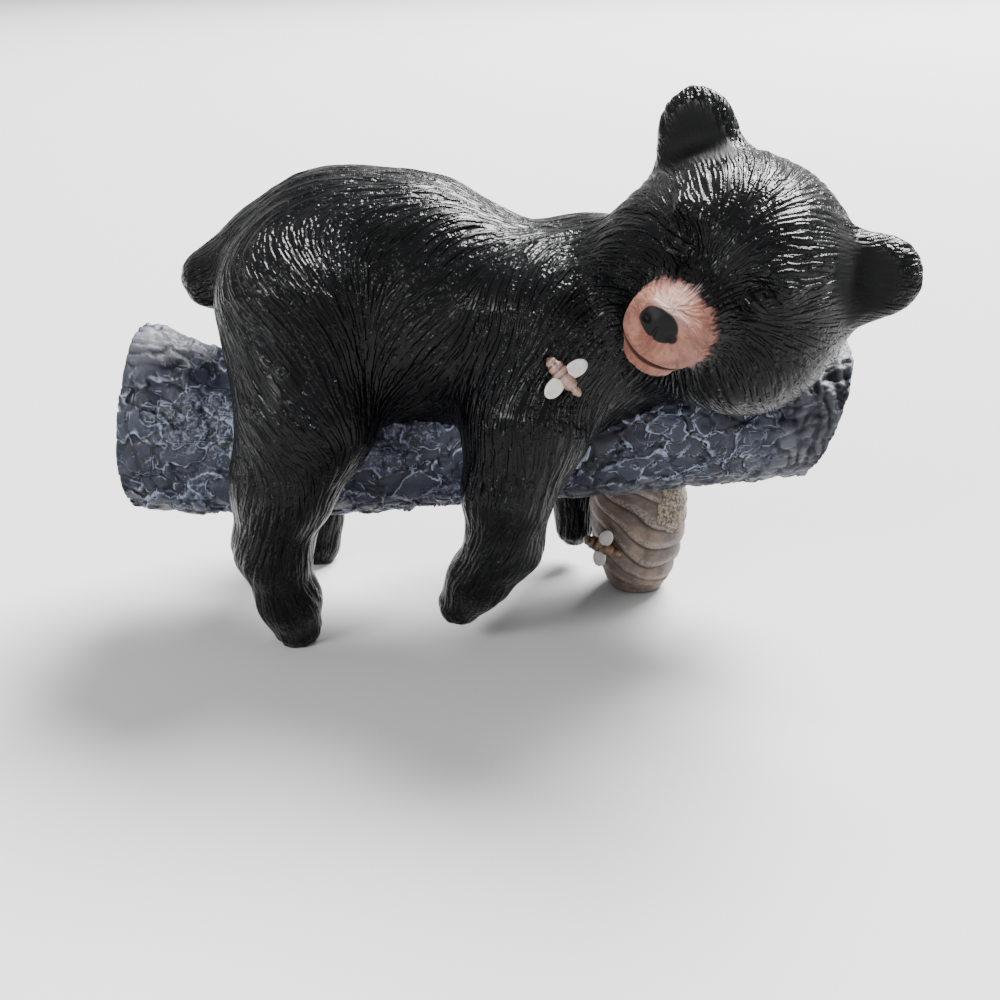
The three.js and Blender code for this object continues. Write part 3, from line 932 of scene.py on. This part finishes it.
def black_coat():
    paint = new_paint("black_coat", Specular_IOR_Level=0.12)
    muzzle = kept(paint, "muzzle")
    hair = level(paint, smeared(paint, **HAIR_STROKES), 0.44, 0.55)
    black = mottled(paint, 60, 0.3, 0.7, *HAIR_BLACK)
    tan = mottled(paint, 120, 0.35, 0.65, *MUZZLE_TAN)
    tan = blend(paint, level(paint, hair, 0.35, 0.0, to_high=0.4), tan, TAN_STROKE)
    ragged = sums(paint, "ADD", muzzle, times(paint, sums(paint, "SUBTRACT", hair, 0.5), 0.3))
    coat = blend(paint, level(paint, ragged, 0.3, 0.75), black, tan)
    # The top edge of the nose: pink paint, partly a painted highlight.
    coat = blend(paint, kept(paint, "rim"), coat, NOSE_TOP_PINK_AND_HIGHLIGHT)
    coat = blend(paint, kept(paint, "mouth"), coat, LIP_BROWN)
    coat = blend(paint, kept(paint, "nose"), coat, NOSE_BLACK)
    coat = blend(paint, kept(paint, "eye"), coat, LID_BLACK)
    rough = sums(paint, "ADD", 0.27, times(paint, muzzle, 0.25))
    rough = sums(paint, "ADD", rough, times(paint, kept(paint, "inner_ear"), 0.4))
    rough = times(paint, rough, less(paint, kept(paint, "eye"), 0.6))
    relief = times(paint, times(paint, hair, kept(paint, "haired")), less(paint, muzzle, 0.55))
    drive(paint, Base_Color=coat, Roughness=rough, Normal=bump(paint, relief, HAIR_BUMP))
    return paint


BARK_SLATE = colour(0.0056, 0.0071, 0.0156), colour(0.013, 0.0158, 0.0303)
BARK_RAISED = colour(0.0223, 0.0266, 0.0467)
# painted shade for the cracks under the flakes' lips and the creases between the scales
BARK_CRACK_SHADE = colour(0.0012, 0.0016, 0.0031)
# light grey paint on the flakes' lips, partly a painted highlight
BARK_VEIN_AND_HIGHLIGHT = colour(0.2, 0.225, 0.3)
BARK_GRIT = colour(0.1053, 0.1231, 0.1827)
BARK_PIT = colour(0.0019, 0.0023, 0.0046)
# light grey for the shoulders beside the creases, partly a painted highlight
BARK_SHOULDER_AND_HIGHLIGHT = colour(0.17, 0.19, 0.26)
BARK_FIBRE = colour(0.0062, 0.0077, 0.014), colour(0.055, 0.058, 0.07)
END_RING = colour(0.0372, 0.0415, 0.0622)


def slate_bark():
    paint = new_paint("slate_bark", Coat_Weight=0.03, Coat_Roughness=0.2, Specular_IOR_Level=0.3)
    edge = kept(paint, "edge")
    rough = kept(paint, "rough")
    crease = kept(paint, "crease")
    base = mottled(paint, 70, 0.35, 0.65, *BARK_SLATE)
    raised = level(paint, kept(paint, "own"), 0.6, 1.0, to_high=0.6)
    base = blend(paint, raised, base, BARK_RAISED)
    # Painted shade: the crack on the lower side of each flake's lip is darkened.
    crack = hump(paint, edge, -0.14, -0.02, -0.005, 0.01)
    base = blend(paint, times(paint, crack, 0.8), base, BARK_CRACK_SHADE)
    # Light grey veins along the raised lip of each flake: dry-brushed paint, partly a painted
    # highlight where the lip catches the light.
    vein = hump(paint, edge, -0.002, 0.015, 0.05, 0.13)
    vein = times(paint, vein, level(paint, noise(paint, 160, detail=3), 0.38, 0.56))
    base = blend(paint, times(paint, vein, 0.9), base, BARK_VEIN_AND_HIGHLIGHT)
    sand = noise(paint, 620, detail=3, rough=0.7)
    grit = times(paint, rough, level(paint, sand, 0.5, 0.62))
    base = blend(paint, times(paint, grit, 0.7), base, BARK_GRIT)
    pits = times(paint, rough, level(paint, sand, 0.46, 0.36))
    base = blend(paint, times(paint, pits, 0.7), base, BARK_PIT)
    # Painted shade: the creases between the scales are darkened.
    base = blend(paint, times(paint, level(paint, crease, 0.45, 0.95), 0.75), base, BARK_CRACK_SHADE)
    # Light grey flecks on the rounded shoulders beside the creases: dry-brushed paint, partly a
    # painted highlight.
    shoulder = hump(paint, crease, 0.08, 0.3, 0.35, 0.6)
    shoulder = times(paint, shoulder, level(paint, noise(paint, 190, detail=3), 0.48, 0.62))
    base = blend(paint, times(paint, shoulder, 0.75), base, BARK_SHOULDER_AND_HIGHLIGHT)
    fibre = blend(paint, level(paint, kept(paint, "fold"), 0.3, 0.9), *BARK_FIBRE)
    base = blend(paint, times(paint, kept(paint, "torn"), 0.85), base, fibre)
    ring = level(paint, kept(paint, "ring"), 0.3, 0.9, to_high=0.5)
    base = blend(paint, ring, base, END_RING)
    speckle = noise(paint, 1100, rough=0.7)
    gloss = level(paint, speckle, 0.3, 0.7, to_low=0.33, to_high=0.6)
    drive(paint, Base_Color=base, Roughness=gloss, Normal=bump(paint, speckle, 0.0004, 0.7))
    return paint


HIVE_BROWN = colour(0.056, 0.0364, 0.0272), colour(0.15, 0.104, 0.0775)
HIVE_GREY = colour(0.0792, 0.0684, 0.0756)
# painted shade for the grooves between the layers
HIVE_GROOVE_SHADE = colour(0.0101, 0.0065, 0.005)
# painted highlight for the crests of the layers
HIVE_CREST_HIGHLIGHT = colour(0.2448, 0.2088, 0.1728)
COMB_WAX = colour(0.036, 0.0202, 0.0101), colour(0.216, 0.1692, 0.1188)
COMB_RIM = colour(0.0144, 0.0086, 0.0058)


def hive_paper():
    paint = new_paint("hive_paper", Coat_Weight=0.08, Coat_Roughness=0.3, Specular_IOR_Level=0.35)
    lip = kept(paint, "lip")
    comb = kept(paint, "comb")
    speckle = noise(paint, 900, rough=0.65)
    base = mottled(paint, 110, 0.35, 0.65, *HIVE_BROWN, detail=5)
    grey = level(paint, noise(paint, 60, detail=3), 0.5, 0.7, to_high=0.5)
    base = blend(paint, grey, base, HIVE_GREY)
    # Painted shade: the grooves between the layers are darkened.
    base = blend(paint, level(paint, lip, 0.35, 0.0), base, HIVE_GROOVE_SHADE)
    # Painted highlight: the crests of the layers are lightened in flecks.
    crest = times(paint, level(paint, lip, 0.75, 1.0), level(paint, speckle, 0.4, 0.6))
    base = blend(paint, times(paint, crest, 0.6), base, HIVE_CREST_HIGHLIGHT)
    grains = noise(paint, 750, detail=3, rough=0.7)
    wax = blend(paint, level(paint, grains, 0.44, 0.56), *COMB_WAX)
    base = blend(paint, level(paint, comb, 0.45, 0.55), base, wax)
    rim = hump(paint, comb, 0.3, 0.42, 0.46, 0.56)
    base = blend(paint, times(paint, rim, 0.8), base, COMB_RIM)
    relief = times(paint, times(paint, comb, grains), 1.5)
    relief = sums(paint, "ADD", times(paint, speckle, 0.5), relief)
    gloss = level(paint, speckle, 0.3, 0.7, to_low=0.42, to_high=0.62)
    drive(paint, Base_Color=base, Roughness=gloss, Normal=bump(paint, relief, 0.0006, 0.8))
    return paint


BEE_BANDS = 7
SHADED = 0.75  # how light the darker patches of a bee are


def bee_body(name, light, dark):
    paint = new_paint(name, Coat_Weight=0.3, Coat_Roughness=0.2, Roughness=0.4)
    along = kept(paint, "along")
    wave = sums(paint, "SINE", times(paint, along, BEE_BANDS * 2 * math.pi))
    stripe = times(paint, level(paint, wave, 0.2, 0.8), level(paint, along, 0.5, 0.46))
    patch = colour(*(SHADED * v for v in light[:3]))
    base = blend(paint, stripe, mottled(paint, 500, 0.3, 0.7, light, patch), dark)
    drive(paint, Base_Color=base, Normal=bump(paint, noise(paint, 1500), 0.0002, 0.5))
    return paint


WING_WHITE = colour(0.336, 0.328, 0.308), colour(0.416, 0.408, 0.392)


def wing_white():
    paint = new_paint("wing_white", Coat_Weight=0.2, Roughness=0.4)
    tint = mottled(paint, 300, 0.3, 0.7, *WING_WHITE)
    drive(paint, Base_Color=tint, Normal=bump(paint, noise(paint, 900), 0.0002, 0.4))
    return paint


make_cub(black_coat())
make_log(slate_bark())
make_hive(hive_paper())
wings = wing_white()
pink_bee = bee_body("pink_bee", colour(0.224, 0.128, 0.1), colour(0.064, 0.028, 0.0224))
brown_bee = bee_body("brown_bee", colour(0.136, 0.068, 0.032), colour(0.016, 0.0072, 0.0048))
make_bee(
    "bee_on_shoulder", "shoulder_bee", pink_bee, wings,
    inward=(-0.1, 0.93, -0.35), heading=(0.62, 0, -0.78),
)
make_bee(
    "bee_on_hive", "hive_bee", brown_bee, wings,
    inward=(0.35, 0.93, 0.05), heading=(0.95, 0, -0.25),
)


# Floor, light and camera

FLOOR_HALF = 25
FLOOR_DROP = 0.0002  # how far below the figure it lies
FLOOR_GREY = colour(0.4, 0.4, 0.4)
SKY = 0.9


def make_floor():
    bm = bmesh.new()
    bmesh.ops.create_grid(bm, x_segments=1, y_segments=1, size=FLOOR_HALF)
    bmesh.ops.translate(bm, verts=bm.verts[:], vec=(0, 0, -FLOOR_DROP))
    paint = new_paint("floor", Base_Color=FLOOR_GREY, Roughness=0.9, Specular_IOR_Level=0.0)
    show(mesh_of(bm, "floor"), "floor", paint)


def softbox(name, at, target, width, height, power):
    data = bpy.data.lights.new(name, "AREA")
    data.shape = "RECTANGLE"
    data.size, data.size_y = width, height
    data.energy = power
    lamp = bpy.data.objects.new(name, data)
    bpy.context.scene.collection.objects.link(lamp)
    lamp.location = at
    lamp.rotation_euler = (Vector(target) - Vector(at)).to_track_quat("-Z", "Y").to_euler()


def make_light():
    world = bpy.data.worlds.new("studio")
    bpy.context.scene.world = world
    world.use_nodes = True
    sky = world.node_tree.nodes["Background"]
    sky.inputs["Color"].default_value = colour(1, 1, 1)
    sky.inputs["Strength"].default_value = SKY
    softbox("back_right", (3.0, 4.0, 6.0), (0, 0, 0.14), width=5.0, height=3.25, power=4900)
    softbox("front_left", (-1.4, -1.7, 1.5), (0, 0, 0.12), width=0.8, height=0.6, power=75)


CAMERA_AT = np.array([31.381, -473.345, 276.05])
CAMERA_YAW = math.radians(-3.551)
CAMERA_PITCH = math.radians(24.979)
CAMERA_ROLL = math.radians(-1.294)
CAMERA_LENS = 43.15


def make_camera():
    forward = Vector((
        math.sin(CAMERA_YAW) * math.cos(CAMERA_PITCH),
        math.cos(CAMERA_YAW) * math.cos(CAMERA_PITCH),
        -math.sin(CAMERA_PITCH),
    ))
    right = forward.cross(Vector((0, 0, 1))).normalized()
    over = right.cross(forward)
    side = right * math.cos(CAMERA_ROLL) + over * math.sin(CAMERA_ROLL)
    top = over * math.cos(CAMERA_ROLL) - right * math.sin(CAMERA_ROLL)
    data = bpy.data.cameras.new("camera")
    data.lens = CAMERA_LENS
    data.sensor_width = 36
    data.clip_start = 0.01
    camera = bpy.data.objects.new("camera", data)
    bpy.context.scene.collection.objects.link(camera)
    turned = Matrix((side, top, -forward)).transposed().to_4x4()
    camera.matrix_world = Matrix.Translation(CAMERA_AT * MM) @ turned
    bpy.context.scene.camera = camera


make_floor()
make_light()
make_camera()
